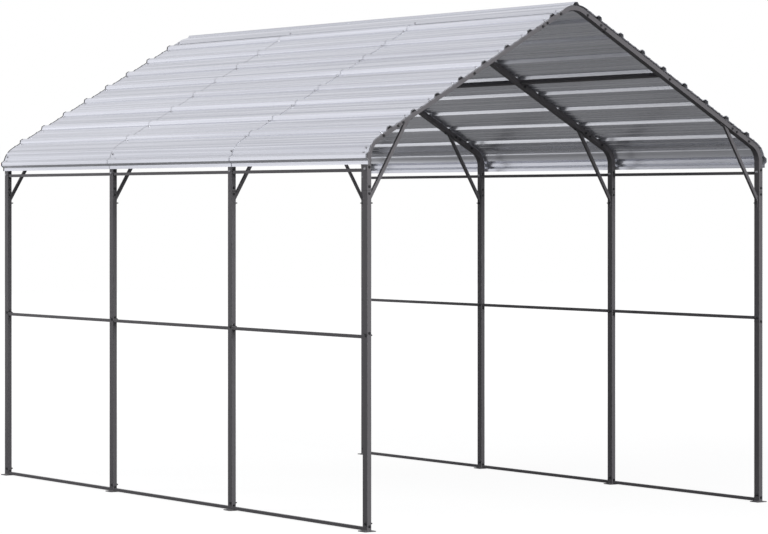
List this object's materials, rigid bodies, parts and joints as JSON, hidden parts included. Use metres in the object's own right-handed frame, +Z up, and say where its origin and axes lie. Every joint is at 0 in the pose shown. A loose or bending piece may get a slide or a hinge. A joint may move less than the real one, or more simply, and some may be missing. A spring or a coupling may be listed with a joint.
{
  "type": "metal carport",
  "caption": "Open metal carport: bent-tube frames on foot plates, small side rails and braces, and a ribbed steel gable roof that curves down at the eaves.",
  "frame": {"origin": "on the ground, in the middle of the footprint", "axes": "+Y from the front to the back along the ridge, +X across the carport, +Z up"},
  "size_m": [3.16, 4.585, 3.1786],
  "materials": {
    "frame_paint": "satin dark grey powder coat",
    "roof_sheet": "dull galvanised"
  },
  "bodies": {
    "root": {"left_post_1": "frame_paint", "left_post_2": "frame_paint", "left_post_3": "frame_paint", "left_post_4": "frame_paint", "left_upper_posts": "frame_paint", "left_bottom_rail": "frame_paint", "left_mid_rail": "frame_paint", "left_eave_rail": "frame_paint", "left_purlin": "frame_paint", "left_roof_front": "roof_sheet", "left_roof_middle": "roof_sheet", "left_roof_rear": "roof_sheet", "right_post_1": "frame_paint", "right_post_2": "frame_paint", "right_post_3": "frame_paint", "right_post_4": "frame_paint", "right_upper_posts": "frame_paint", "right_bottom_rail": "frame_paint", "right_mid_rail": "frame_paint", "right_eave_rail": "frame_paint", "right_purlin": "frame_paint", "right_roof_front": "roof_sheet", "right_roof_middle": "roof_sheet", "right_roof_rear": "roof_sheet", "eave_elbows_1": "frame_paint", "rafters_1": "frame_paint", "peak_bend_1": "frame_paint", "knee_braces_1": "frame_paint", "eave_elbows_2": "frame_paint", "rafters_2": "frame_paint", "peak_bend_2": "frame_paint", "knee_braces_2": "frame_paint", "eave_elbows_3": "frame_paint", "rafters_3": "frame_paint", "peak_bend_3": "frame_paint", "knee_braces_3": "frame_paint", "eave_elbows_4": "frame_paint", "rafters_4": "frame_paint", "peak_bend_4": "frame_paint", "knee_braces_4": "frame_paint", "ridge_cap_front": "roof_sheet", "ridge_cap_middle": "roof_sheet", "ridge_cap_rear": "roof_sheet"}
  },
  "joints": []
}
